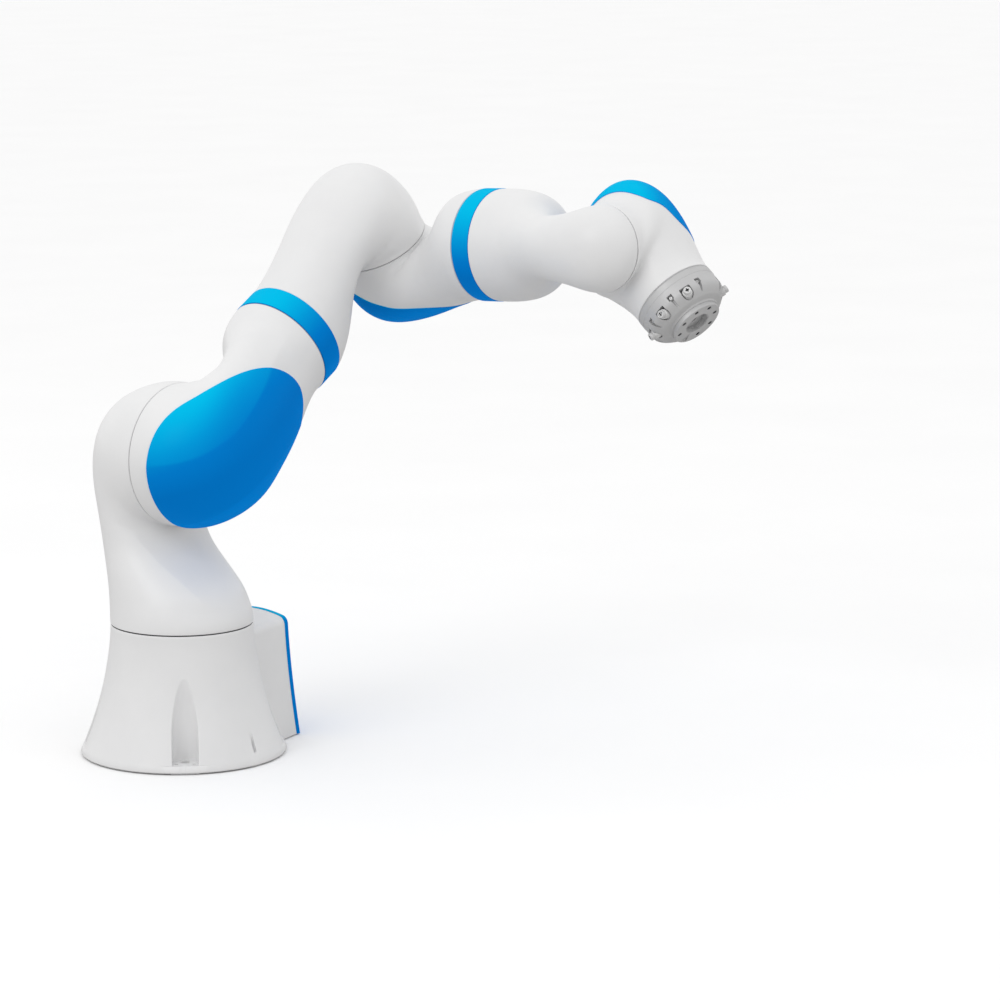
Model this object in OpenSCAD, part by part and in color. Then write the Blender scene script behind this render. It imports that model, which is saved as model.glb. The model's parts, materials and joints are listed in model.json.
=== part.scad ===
// Seven-axis collaborative robot arm, standing on its bolted base.
// Origin: centre of the base's underside. +Z up, +X towards the connector box.

/* [Joint spacing] */
// Height of the first turning seam above the underside
base_seam = 157.5; // [155:0.5:160]
// Height of the shoulder axis
shoulder_z = 360; // [355:1:365]
// Shoulder axis to elbow axis
upper_arm = 420; // [415:1:425]
// Elbow axis to wrist axis
forearm = 400; // [395:1:405]
// Wrist axis to the flange seam
wrist_seam = 81; // [80:0.5:82]
// Wrist axis to the tool face
tool_face = 126; // [125:0.5:127]
// Wrist seam's offset from the arm's centre line
wrist_offset = 62; // [61:0.5:63]

/* [Rest pose] */
// Shoulder lean, degrees from upright
lean = 58.4; // [50:0.1:65]
// Upper arm roll
upper_roll = 87.6; // [80:0.1:95]
// Elbow bend
elbow_bend = 88; // [80:0.1:95]
// Forearm roll
fore_roll = 54.5; // [45:0.1:60]
// Wrist bend
wrist_bend = 43.3; // [35:0.1:50]

/* [Housings] */
// Radius of the base and shoulder seams
shoulder_r = 85; // [84:0.5:86]
// Radius of the two blue rings
ring_r = 68; // [67:0.5:69]
// Radius of the elbow seam
elbow_r = 62; // [61:0.5:63]
// Radius of the wrist seams
wrist_r = 51.5; // [51:0.5:52]
// Wall thickness of the cast housings
wall = 5; // [4:0.5:6]
// Gap between two housings at a seam
gap = 1.5; // [1.2:0.1:1.8]
// Height of the upper blue ring
ring_3_h = 30.5; // [28:0.5:32]
// Height of the forearm's blue ring
ring_5_h = 26; // [24:0.5:28]
// Shoulder axis to the upper ring
ring_3_at = 204.8; // [203:0.1:207]
// Elbow axis to the forearm ring
ring_5_at = 174; // [172:0.5:176]
// Thickness of the blue covers
cap_wall = 2; // [1.5:0.1:3]
// Gap between a cover and the housing under it
cap_gap = 0.6; // [0.5:0.1:1]

/* [Base] */
// Radius of the base at its foot
foot_r = 124; // [122:0.5:126]
// Bolt circle of the base
base_pcd = 200; // [196:1:204]
// Radius of the base bolt holes
base_bolt_r = 5.5; // [5:0.1:6]
// Radius of the pockets over the base bolts
pocket_r = 15.5; // [15:0.5:16]
// Thickness of the feet
foot_h = 3.5; // [3:0.1:4]

/* [Tool flange] */
// Bolt circle of the tool flange
tool_pcd = 50; // [50:1:50]
// Radius of the tool bolt holes
tool_bolt_r = 3; // [3:0.1:3.3]
// Radius of the centring bore
tool_bore_r = 15.75; // [15.75:0.01:15.8]
// Radius of the raised tool disc
tool_disc_r = 31.5; // [31:0.1:32]

/* [Hidden] */
$fn = 72;
half_gap = gap / 2;
steps_along = 15;   // sections along a housing
steps_round = 28;   // points round a section

white = "WhiteSmoke";
blue = "DodgerBlue";
grey = "DimGray";
steel = "Silver";

// ---- Housing outlines ----
// Each row is one section of a housing, from its straight end to its elbow seam.
// s runs along the straight end's axis and t along the elbow axis, both from the
// point where the two axes cross. A row holds [inner s, inner t, outer s, outer t,
// half width across the arm, squareness], where 2 is a true ellipse.
link_1_rows = [
    [shoulder_z - base_seam - half_gap, -shoulder_r, shoulder_z - base_seam - half_gap, shoulder_r, shoulder_r, 2],
    [185, -82.5, 185, 86.5, 83.5, 2],
    [162, -68.5, 161, 88.5, 80, 2],
    [139, -43, 130, 92.5, 75.5, 2],
    [118, -17, 94, 97, 72, 2],
    [102, -2, 52, 101.5, 72.5, 2],
    [93, 3.5, 6, 103, 75.5, 2.1],
    [89, 5.5, -42, 91.5, 80, 2.1],
    [87, 7, -71, 61.5, 83.5, 2.1],
    [86, 6, -83.5, 26, 85, 2],
    [shoulder_r, half_gap, -shoulder_r, half_gap, shoulder_r, 2]
];
link_2_rows = [
    [ring_3_at - half_gap, -ring_r, ring_3_at - half_gap, ring_r, ring_r, 2],
    [188, -66, 188, 69, 66.5, 2],
    [164, -53, 165, 73, 66, 2],
    [138, -29, 138, 81, 67.5, 2],
    [115, -10, 100, 92.5, 72, 2],
    [98, 0, 55, 102, 76, 2],
    [90, 4, 5, 105.5, 80, 2.1],
    [87.5, 6, -42, 92, 82, 2.1],
    [87, 7, -72, 60.5, 84, 2.1],
    [86, 6, -84, 26, 85, 2],
    [shoulder_r, half_gap, -shoulder_r, half_gap, shoulder_r, 2]
];
link_3_rows = [
    [upper_arm - ring_3_at - ring_3_h, -ring_r, upper_arm - ring_3_at - ring_3_h, ring_r, ring_r, 2],
    [165, -63, 165, 72.5, 64.5, 2],
    [141, -46, 137, 81, 61.5, 2],
    [119, -20, 102, 93, 59.5, 2],
    [98, -1, 65, 105, 60.5, 2],
    [81, 5.5, 25, 113, 63, 2],
    [70, 6, -14, 109, 64, 2.1],
    [66, 6.5, -43, 83, 63.5, 2.1],
    [64, 6.5, -57.5, 46, 63, 2.1],
    [63, 5, -61.5, 19, 62, 2],
    [elbow_r, half_gap, -elbow_r, half_gap, elbow_r, 2]
];
link_4_rows = [
    [ring_5_at - half_gap, -ring_r, ring_5_at - half_gap, ring_r, ring_r, 2],
    [158, -67.5, 158, 69.5, 64, 2],
    [136, -59, 137, 75, 59, 2],
    [115, -37, 108, 83.5, 55.5, 2],
    [95, -17, 74, 94.5, 56.5, 2],
    [79, -6, 35, 102.5, 62.5, 2],
    [68, 0, -4, 99, 67, 2.1],
    [65, 4, -37, 77, 68, 2.1],
    [64, 6, -55.5, 44, 64.5, 2.1],
    [63, 5, -61.5, 18.5, 62.5, 2],
    [elbow_r, half_gap, -elbow_r, half_gap, elbow_r, 2]
];
link_5_rows = [
    [forearm - ring_5_at - ring_5_h, -ring_r, forearm - ring_5_at - ring_5_h, ring_r, ring_r, 2],
    [172, -68, 172, 68, 66.5, 2],
    [141, -64, 146, 71.5, 57, 2],
    [123, -36, 122, 79, 47, 2],
    [109, 0, 90, 93.5, 39.5, 2],
    [92, 35.5, 55, 105.5, 38, 2],
    [72, 55, 15, 111, 40.5, 2.1],
    [59, 64, -18, 106, 45, 2.1],
    [54, 67, -40, 90.5, 49, 2.1],
    [52, 66, -50, 76, 51, 2],
    [wrist_r, wrist_offset + half_gap, -wrist_r, wrist_offset + half_gap, wrist_r, 2]
];
link_6_rows = [
    [wrist_seam - half_gap, -wrist_r, wrist_seam - half_gap, wrist_r, wrist_r, 2],
    [68, -51, 62, 53.5, 52, 2],
    [58, -50, 32, 58, 56.5, 2],
    [52, -49, -6, 61, 62.5, 2],
    [48, -48.5, -44, 54, 67.5, 2],
    [46, -50, -71, 33, 69, 2.1],
    [47, -53, -80, 4, 64.5, 2.1],
    [50, -56.5, -65, -22, 56, 2],
    [51.5, -60, -55, -45, 52.5, 2],
    [wrist_r, half_gap - wrist_offset, -wrist_r, half_gap - wrist_offset, wrist_r, 2]
];

// ---- Frames ----
// Each places its children in a link's frame: z along the arm, -y on the side
// of the blue cover.
module at_shoulder() { translate([0, 0, shoulder_z]) children(); }
module at_link_2() { at_shoulder() rotate([0, lean, 0]) children(); }
module at_link_3() { at_link_2() rotate([0, 0, upper_roll]) children(); }
module at_elbow() { at_link_3() translate([0, 0, upper_arm]) children(); }
module at_link_4() { at_elbow() rotate([0, -elbow_bend, 0]) children(); }
module at_link_5() { at_link_4() rotate([0, 0, fore_roll]) children(); }
module at_wrist() { at_link_5() translate([0, 0, forearm]) children(); }
module at_link_6() { at_wrist() rotate([0, -wrist_bend, 0]) children(); }

// Seam frames: z along the joint's axis, parent below the seam and child above.
module seam_1() { translate([0, 0, base_seam]) children(); }
module seam_2() { at_shoulder() rotate([90, 0, 0]) children(); }
module seam_3() { at_link_2() translate([0, 0, ring_3_at]) children(); }
module seam_4() { at_elbow() rotate([90, 0, 0]) children(); }
module seam_5() { at_link_4() translate([0, 0, ring_5_at]) children(); }
module seam_6() { at_wrist() rotate([90, 0, 0]) translate([0, 0, -wrist_offset]) children(); }
module seam_7() { at_link_6() translate([0, 0, wrist_seam]) children(); }

// ---- Smooth housings ----
// A smooth curve through a list of rows, at a place from 0 to the last row.
function before(rows, i) = i > 0 ? rows[i - 1] : 2 * rows[0] - rows[1];
function after(rows, i) = i < len(rows) - 1 ? rows[i + 1] : 2 * rows[i] - rows[i - 1];
function blend(a, b, c, d, f) =
    0.5 * (2 * b + (c - a) * f + (2 * a - 5 * b + 4 * c - d) * f * f + (3 * b - a - 3 * c + d) * f * f * f);
function row_at(rows, u) =
    let (i = min(floor(u), len(rows) - 2))
    blend(before(rows, i), rows[i], rows[i + 1], after(rows, i + 1), u - i);
function bulge(v, n) = sign(v) * pow(abs(v), 2 / n);
// The point of a row at an angle, where 0 is its outer side. Depth is below the skin.
function skin_point(row, angle, depth) =
    let (
        half_s = (row[2] - row[0]) / 2,
        half_t = (row[3] - row[1]) / 2,
        keep = 1 - depth / norm([half_s, half_t]),
        c = keep * bulge(cos(angle), row[5])
    )
    [
        (row[4] - depth) * bulge(sin(angle), row[5]),
        -(row[1] + row[3]) / 2 - half_t * c,
        (row[0] + row[2]) / 2 + half_s * c
    ];
// The four-cornered faces of a grid of points, as triangles.
function grid_faces(first, rows, columns, flip) = [
    for (i = [0 : rows - 2], j = [0 : columns - 1], half = [0, 1])
        let (
            k = (j + 1) % columns,
            a = first + i * columns + j,
            b = first + i * columns + k,
            c = first + (i + 1) * columns + k,
            d = first + (i + 1) * columns + j,
            face = half == 0 ? [a, b, c] : [a, c, d]
        )
        flip ? [face[2], face[1], face[0]] : face
];
// The rim that joins the outer and inner skins at one end.
function rim_faces(outer, inner, columns, flip) = [
    for (j = [0 : columns - 1], half = [0, 1])
        let (
            k = (j + 1) % columns,
            face = half == 0 ? [outer + j, outer + k, inner + k] : [outer + j, inner + k, inner + j]
        )
        flip ? [face[2], face[1], face[0]] : face
];
// A hollow housing, open at its straight end and at its elbow seam.
module housing(rows) {
    n = steps_round;
    m = steps_along;
    skins = [
        for (depth = [0, wall], i = [0 : m - 1], j = [0 : n - 1])
            skin_point(row_at(rows, (len(rows) - 1) * i / (m - 1)), 360 * j / n, depth)
    ];
    polyhedron(
        points = skins,
        faces = concat(
            grid_faces(0, m, n, false),
            grid_faces(m * n, m, n, true),
            rim_faces(0, m * n, n, true),
            rim_faces((m - 1) * n, (2 * m - 1) * n, n, false)
        ),
        convexity = 6
    );
}
// A blue cover laid on the outside of a housing, round the row called middle.
module cover(rows, middle, towards_end, towards_seam, half_angle) {
    rings = 8;
    n = 32;
    spots = concat(
        [[middle, 0]],
        [
            for (i = [1 : rings], j = [0 : n - 1])
                let (c = cos(360 * j / n), reach = i / rings)
                [
                    middle + reach * c * (c > 0 ? towards_seam : towards_end),
                    reach * half_angle * sin(360 * j / n)
                ]
        ]
    );
    count = len(spots);
    rim = 1 + (rings - 1) * n;
    centre = [for (j = [0 : n - 1]) [0, 1 + (j + 1) % n, 1 + j]];
    top = concat(centre, grid_faces(1, rings, n, false));
    under = [for (face = top) [face[2] + count, face[1] + count, face[0] + count]];
    polyhedron(
        points = [
            for (depth = [-cap_gap - cap_wall, -cap_gap], spot = spots)
                skin_point(row_at(rows, spot[0]), spot[1], depth)
        ],
        faces = concat(top, under, rim_faces(rim, count + rim, n, false)),
        convexity = 6
    );
}
module turned_over() { rotate([180, 0, 0]) children(); }

// ---- Joint drives ----
// Seam radius, drive depth and roll of each joint's parts
module pipe(outer, inner, low, high) {
    translate([0, 0, low]) difference() {
        cylinder(r = outer, h = high - low);
        translate([0, 0, -1]) cylinder(r = inner, h = high - low + 2);
    }
}
function seat(r) = r - wall - 5;          // largest part that the housing takes
function race(r) = 0.78 * seat(r);        // bearing bore
function hollow(r) = 0.24 * seat(r);      // cable passage
function shaft(r) = hollow(r) + 3;        // hollow shaft round it
shaft_gap = 0.5;                          // shaft to the still parts
hub_wall = 6;                             // wall of the hub's journal
seat_low = 5;                             // bearing to seam
// Motor with brake and encoder, a stepped can with cooling ribs
module motor(r, depth) {
    low = -seat_low - depth;
    difference() {
        union() {
            pipe(0.62 * seat(r), shaft(r) + shaft_gap, low, low + 0.42 * depth);
            for (i = [0 : 3])
                pipe(0.66 * seat(r), 0.6 * seat(r), low + (0.06 + 0.09 * i) * depth, low + (0.1 + 0.09 * i) * depth);
        }
        translate([0.4 * seat(r), 0, low - 1]) cylinder(r = 0.06 * seat(r), h = 3, $fn = 24);
    }
}
// Strain-wave gear housing with its ring of screw holes
module gear(r, depth) {
    low = -seat_low - 0.58 * depth;
    difference() {
        pipe(0.9 * seat(r), shaft(r) + shaft_gap, low, -seat_low - 0.25 * depth);
        for (i = [0 : 11])
            rotate([0, 0, 30 * i]) translate([0.8 * seat(r), 0, low - 1])
                cylinder(r = 0.035 * seat(r), h = 0.15 * depth, $fn = 16);
    }
}
// Outer race of the crossed roller bearing
module bearing(r, depth) {
    pipe(seat(r), race(r), -seat_low - 0.25 * depth, -seat_low);
}
// Sealing ring in the seam
module seal(r) {
    pipe(r - 0.8, r - wall + 0.5, -half_gap, -half_gap + gap - 0.35);
}
// Output hub: hollow shaft in the bearing, flange in the next housing
module hub(r, depth) {
    pipe(race(r) - 0.05, race(r) - hub_wall, -seat_low - 0.25 * depth + 0.4, 1.5);
    pipe(shaft(r), hollow(r), -seat_low - depth, 1.5);
    difference() {
        pipe(seat(r), hollow(r), 1.5, 8);
        for (i = [0 : 7])
            rotate([0, 0, 45 * i]) translate([0.88 * seat(r), 0, 4])
                cylinder(r = 0.05 * seat(r), h = 5, $fn = 16);
    }
}
depth_1 = 60;
depth_2 = 56;
depth_3 = 40;
depth_4 = 44;
depth_5 = 36;
depth_6 = 26;
depth_7 = 36;

// ---- Base ----
// Radius of the flared base at a height
function flare(z) = shoulder_r + (foot_r - shoulder_r) * pow((base_seam - z) / base_seam, 1.75);
foot_round = 5;
base_top = base_seam - half_gap;
flare_steps = 12;
flare_curve = [
    for (i = [0 : flare_steps])
        let (z = foot_h + foot_round + (base_top - foot_h - foot_round) * i / flare_steps)
        [flare(z), z]
];
foot_curve = [
    for (a = [-90 : 22.5 : -22.5])
        [
            flare(foot_h + foot_round) - foot_round + foot_round * cos(a),
            foot_h + foot_round + foot_round * sin(a)
        ]
];
floor_z = 10;
base_wall = 6;
module flare_solid() {
    rotate_extrude() polygon(concat([[0, foot_h]], foot_curve, flare_curve, [[0, base_top]]));
}
module flare_hollow() {
    rotate_extrude() polygon(concat(
        [[0, floor_z]],
        [for (p = flare_curve) if (p[1] > floor_z + 1) [p[0] - base_wall, p[1]]],
        [[flare(base_top) - base_wall, base_top + 1], [0, base_top + 1]]
    ));
}
module each_bolt() {
    for (a = [45 : 90 : 315]) rotate([0, 0, a]) translate([base_pcd / 2, 0, 0]) children();
}
pocket_out = 5.7; // pocket centre outside the bolt circle
// A bolt pocket, round at its back and open to the outside
module pocket(r, low) {
    each_bolt() translate([pocket_out, 0, low]) {
        cylinder(r = r, h = 140);
        translate([0, -r, 0]) cube([30, 2 * r, 140]);
    }
}
module base_housing() {
    color(white) difference() {
        union() {
            difference() {
                flare_solid();
                flare_hollow();
                translate([0, 0, foot_h - 1]) cylinder(r = 62, h = 20);
            }
            intersection() {
                flare_solid();
                pocket(pocket_r + 4, foot_h);
            }
        }
        pocket(pocket_r, floor_z);
        each_bolt() translate([0, 0, -1]) cylinder(r = base_bolt_r, h = 20);
        for (side = [-1, 1])
            translate([0, side * flare(25.5), 25.5]) cube([3, 30, 19], center = true);
    }
}
foot_w = 33;
module base_feet() {
    color(grey) difference() {
        intersection() {
            pipe(foot_r - 4, 84, 0, foot_h);
            union() {
                for (a = [45, 135])
                    rotate([0, 0, a]) cube([2 * foot_r, foot_w, 3 * foot_h], center = true);
                cube([foot_w / 2, 2 * foot_r, 3 * foot_h], center = true);
            }
        }
        each_bolt() translate([0, 0, -1]) cylinder(r = base_bolt_r, h = 20);
    }
}
// The connector box behind the base: it leans in a little towards its top
panel_low_x = 144.5;
panel_high_x = 135.5;
box_top = 140;
panel_tilt = atan((panel_low_x - panel_high_x) / box_top);
module box_solid(inset) {
    intersection() {
        translate([0, 80, 0]) rotate([90, 0, 0]) linear_extrude(160) polygon([
            [40, foot_h + inset], [panel_low_x, foot_h + inset],
            [panel_high_x, box_top], [panel_high_x - 14, box_top + 8 - inset],
            [60, box_top + 12 - inset], [40, box_top + 12 - inset]
        ]);
        linear_extrude(170) polygon([
            [40, -68 + inset], [111, -57 + inset], [panel_low_x + 1, -47 + inset],
            [panel_low_x + 1, 47 - inset], [111, 57 - inset], [40, 68 - inset]
        ]);
        translate([0, 0, 0]) rotate([90, 0, 90]) linear_extrude(170) polygon(concat(
            [[-70, 0], [70, 0], [70 - inset, 100]],
            [for (a = [0 : 15 : 180]) [(52 - inset) * cos(a), 100 + (50 - inset) * sin(a)]],
            [[-70 + inset, 100]]
        ));
    }
}
module connector_box() {
    color(white) difference() {
        box_solid(0);
        intersection() {
            box_solid(4);
            translate([0, 0, 85]) cube([2 * panel_high_x + 40, 200, 200], center = true);
        }
        flare_solid();
        translate([0, 0, base_top - 10]) cylinder(r = shoulder_r + 2, h = 30);
    }
}
module connector_panel() {
    color(blue) difference() {
        translate([4.5, 0, 0]) box_solid(1);
        box_solid(0);
        translate([-300 + panel_high_x - 8, -200, -10]) cube([300, 400, 300]);
        on_panel() for (i = [0 : 3]) translate([socket_at[i][0], socket_at[i][1], -20]) cylinder(r = socket_r[i], h = 60);
    }
}
socket_at = [[-26, 34], [26, 34], [-22, 88], [22, 88]];
socket_r = [13, 13, 9, 9];
module on_panel() {
    translate([panel_low_x, 0, 0]) rotate([0, -panel_tilt, 0]) rotate([90, 0, 90]) children();
}
module panel_sockets() {
    color(steel) for (i = [0 : 3])
        on_panel() translate([socket_at[i][0], socket_at[i][1], 0]) {
            difference() {
                translate([0, 0, 0.2]) cylinder(r = socket_r[i] - 0.2, h = 7.3);
                translate([0, 0, 2]) cylinder(r = socket_r[i] - 3, h = 8);
            }
            translate([0, 0, 1]) cylinder(r = socket_r[i] - 6, h = 5);
        }
}
module base_board() {
    color("green") {
        translate([-45, -35, 30]) cube([90, 70, 1.6]);
        translate([-32, -22, 31.6]) cube([40, 40, 8]);
        translate([18, -20, 31.6]) cube([16, 36, 14]);
    }
    color(steel) for (x = [-40, 40], y = [-30, 30])
        translate([x, y, 24]) cylinder(r = 3, h = 6);
}

// ---- Links ----
module link_1_housing() { color(white) at_shoulder() turned_over() housing(link_1_rows); }
module link_2_housing() { color(white) at_link_2() housing(link_2_rows); }
module link_3_housing() { color(white) at_elbow() turned_over() housing(link_3_rows); }
module link_4_housing() { color(white) at_link_4() housing(link_4_rows); }
module link_5_housing() { color(white) at_wrist() turned_over() housing(link_5_rows); }
module link_6_housing() { color(white) at_link_6() housing(link_6_rows); }
module link_2_cap() { color(blue) at_link_2() cover(link_2_rows, 6, 3.2, 2.9, 78); }
module link_4_cap() { color(blue) at_link_4() cover(link_4_rows, 6, 3.2, 2.9, 78); }
module link_6_cap() { color(blue) at_link_6() cover(link_6_rows, 3.6, 2.4, 2.4, 72); }
module link_3_ring() {
    color(blue) at_link_2() pipe(ring_r, ring_r - wall, ring_3_at + half_gap, ring_3_at + ring_3_h);
}
module link_5_ring() {
    color(blue) at_link_4() pipe(ring_r, ring_r - wall, ring_5_at + half_gap, ring_5_at + ring_5_h);
}
// A controller board behind a blue cover
module board(size, depth) {
    rotate([90, 0, 0]) translate([-size / 2, -size / 2, depth]) {
        cube([size, size, 1.6]);
        translate([size / 4, size / 4, 1.6]) cube([size / 2, size / 3, 4]);
    }
}
module link_2_board() { color("green") at_link_2() board(70, 50); }
module link_4_board() { color("green") at_link_4() board(50, 38); }
module link_6_board() { color("green") at_link_6() translate([0, 0, -8]) board(38, 36); }

// ---- Tool flange ----
module at_flange() { at_link_6() translate([0, 0, wrist_seam]) children(); }
face_z = tool_face - wrist_seam;
body_wall = 6;
places = 8;                     // clocked places round the flange
fitting_places = [1, 2, 3, 7];  // the ones that hold a fitting
fitting_seat = wrist_r - 5;     // floor of the fittings' pockets
fitting_z = 27;                 // seam to the middle of a fitting
fitting_pocket_r = 7.2;
screw_z = 20;                   // seam to the middle of a small screw
module each_fitting() {
    for (i = fitting_places) rotate([0, 0, 360 * i / places]) children();
}
module each_screw() {
    for (i = [0 : places - 1]) rotate([0, 0, 360 * (i + 0.5) / places]) children();
}
module flange_body() {
    color(grey) at_flange() difference() {
        rotate_extrude() polygon([
            [wrist_r - body_wall, half_gap], [wrist_r, half_gap], [wrist_r - 0.5, 21.6], [wrist_r - 2.1, 26.3],
            [wrist_r - 7, 31.8], [tool_disc_r + 6, 36], [tool_disc_r + 2, 37.5], [tool_disc_r, 38],
            [tool_disc_r, 26], [wrist_r - body_wall, 20]
        ]);
        each_fitting() translate([fitting_seat, 0, fitting_z]) rotate([0, 90, 0]) {
            cylinder(r = fitting_pocket_r, h = 20);
            translate([0, -fitting_pocket_r, 0]) cube([8, 2 * fitting_pocket_r, 20]);
        }
        each_screw() translate([wrist_r + 6, 0, screw_z]) cube([20, 7, 7], center = true);
    }
}
module flange_disc() {
    color(grey) at_flange() difference() {
        union() {
            translate([0, 0, 30]) cylinder(r = tool_disc_r, h = face_z - 30);
            translate([0, 0, 20]) cylinder(r = tool_disc_r - 2, h = 12);
        }
        for (i = [0 : 7])
            rotate([0, 0, 45 * i]) translate([tool_pcd / 2, 0, face_z - 10]) cylinder(r = tool_bolt_r, h = 12);
        translate([0, 0, face_z - 7]) cylinder(r = tool_bore_r, h = 10);
        cylinder(r = 6, h = 60);
    }
}
module flange_fittings() {
    color(steel) at_flange() each_fitting() translate([fitting_seat, 0, fitting_z]) rotate([0, 90, 0]) difference() {
        union() {
            cylinder(r = 5.8, h = 4.5);
            cylinder(r = 4.5, h = 8.5);
        }
        translate([0, 0, 6.5]) cylinder(r = 1.8, h = 10);
    }
}
module flange_screws() {
    color(steel) at_flange() each_screw() translate([wrist_r - 4, 0, screw_z]) rotate([0, 90, 0])
        cylinder(r = 2.4, h = 2.6);
}

base_housing();
base_feet();
connector_box();
connector_panel();
panel_sockets();
base_board();
color(grey) seam_1() motor(shoulder_r, depth_1);  // joint_1_motor
color(steel) seam_1() gear(shoulder_r, depth_1);  // joint_1_gear
color(steel) seam_1() bearing(shoulder_r, depth_1);  // joint_1_bearing
color(grey) seam_1() seal(shoulder_r);  // joint_1_seal
color(steel) seam_1() hub(shoulder_r, depth_1);  // joint_1_hub
link_1_housing();
color(grey) seam_2() motor(shoulder_r, depth_2);  // joint_2_motor
color(steel) seam_2() gear(shoulder_r, depth_2);  // joint_2_gear
color(steel) seam_2() bearing(shoulder_r, depth_2);  // joint_2_bearing
color(grey) seam_2() seal(shoulder_r);  // joint_2_seal
color(steel) seam_2() hub(shoulder_r, depth_2);  // joint_2_hub
link_2_housing();
link_2_cap();
link_2_board();
color(grey) seam_3() motor(ring_r, depth_3);  // joint_3_motor
color(steel) seam_3() gear(ring_r, depth_3);  // joint_3_gear
color(steel) seam_3() bearing(ring_r, depth_3);  // joint_3_bearing
color(grey) seam_3() seal(ring_r);  // joint_3_seal
color(steel) seam_3() hub(ring_r, depth_3);  // joint_3_hub
link_3_ring();
link_3_housing();
color(grey) seam_4() motor(elbow_r, depth_4);  // joint_4_motor
color(steel) seam_4() gear(elbow_r, depth_4);  // joint_4_gear
color(steel) seam_4() bearing(elbow_r, depth_4);  // joint_4_bearing
color(grey) seam_4() seal(elbow_r);  // joint_4_seal
color(steel) seam_4() hub(elbow_r, depth_4);  // joint_4_hub
link_4_housing();
link_4_cap();
link_4_board();
color(grey) seam_5() motor(ring_r, depth_5);  // joint_5_motor
color(steel) seam_5() gear(ring_r, depth_5);  // joint_5_gear
color(steel) seam_5() bearing(ring_r, depth_5);  // joint_5_bearing
color(grey) seam_5() seal(ring_r);  // joint_5_seal
color(steel) seam_5() hub(ring_r, depth_5);  // joint_5_hub
link_5_ring();
link_5_housing();
color(grey) seam_6() motor(wrist_r, depth_6);  // joint_6_motor
color(steel) seam_6() gear(wrist_r, depth_6);  // joint_6_gear
color(steel) seam_6() bearing(wrist_r, depth_6);  // joint_6_bearing
color(grey) seam_6() seal(wrist_r);  // joint_6_seal
color(steel) seam_6() hub(wrist_r, depth_6);  // joint_6_hub
link_6_housing();
link_6_cap();
link_6_board();
color(grey) seam_7() motor(wrist_r, depth_7);  // joint_7_motor
color(steel) seam_7() gear(wrist_r, depth_7);  // joint_7_gear
color(steel) seam_7() bearing(wrist_r, depth_7);  // joint_7_bearing
color(grey) seam_7() seal(wrist_r);  // joint_7_seal
color(steel) seam_7() hub(wrist_r, depth_7);  // joint_7_hub
flange_body();
flange_disc();
flange_fittings();
flange_screws();
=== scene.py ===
"""Seven-axis collaborative robot arm: its finished look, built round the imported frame.

Sizes are in millimetres in the part's frame and become metres in solid_mesh().
"""

import json
import math

import bmesh
import bpy
import numpy as np
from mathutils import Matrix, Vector


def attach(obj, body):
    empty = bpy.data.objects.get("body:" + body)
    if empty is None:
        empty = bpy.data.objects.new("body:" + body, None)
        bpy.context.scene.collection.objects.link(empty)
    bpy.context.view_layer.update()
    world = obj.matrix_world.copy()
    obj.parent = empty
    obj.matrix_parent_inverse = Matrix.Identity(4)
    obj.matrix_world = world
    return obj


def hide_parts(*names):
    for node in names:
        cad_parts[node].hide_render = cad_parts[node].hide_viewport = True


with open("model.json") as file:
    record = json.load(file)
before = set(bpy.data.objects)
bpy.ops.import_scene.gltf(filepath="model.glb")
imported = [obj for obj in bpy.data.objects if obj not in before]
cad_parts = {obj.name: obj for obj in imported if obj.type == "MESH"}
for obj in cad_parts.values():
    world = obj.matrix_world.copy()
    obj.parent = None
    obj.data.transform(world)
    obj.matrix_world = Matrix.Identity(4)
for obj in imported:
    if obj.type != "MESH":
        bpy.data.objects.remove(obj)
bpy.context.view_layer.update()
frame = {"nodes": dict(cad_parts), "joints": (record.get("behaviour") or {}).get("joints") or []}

MM = 0.001
JOINTS = {j["name"]: j for j in frame["joints"]}

# Driving sizes, as in the CAD source
BASE_SEAM = 157.5
SHOULDER_R = 85
RING_R = 68
ELBOW_R = 62
WRIST_R = 51.5
WALL = 5
HALF_GAP = 0.75
RING_3_AT = 204.8
RING_3_H = 30.5
RING_5_AT = 174
RING_5_H = 26
WRIST_SEAM = 81
TOOL_FACE = 126
WRIST_OFFSET = 62  # how far the wrist's seam stands aside of the forearm's axis
FOOT_R = 124
POCKET_FLOOR = 10
BOLT_CIRCLE_R = 100
BOLT_R = 5.5
POCKET_R = 15.5
POCKET_AT = 105.7
DISC_R = 31.5
BORE_R = 15.75

FOOT_H = 1  # how much of the feet shows; the CAD's are higher


# ---- Frames ----
def joint_axis(name):
    """The axis of a joint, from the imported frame."""
    return np.array(JOINTS[name]["axis"], float)


def joint_point(name):
    """A point on a joint's axis, in millimetres."""
    return np.array(JOINTS[name]["pos_m"], float) / MM


def make_frame(origin, z, y):
    """Turns points in a frame with this z and y axis into the part's frame."""
    z = z / np.linalg.norm(z)
    x = np.cross(y, z)
    x /= np.linalg.norm(x)
    turn = np.column_stack([x, np.cross(z, x), z])
    return lambda points: np.asarray(points, float) @ turn.T + origin


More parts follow.
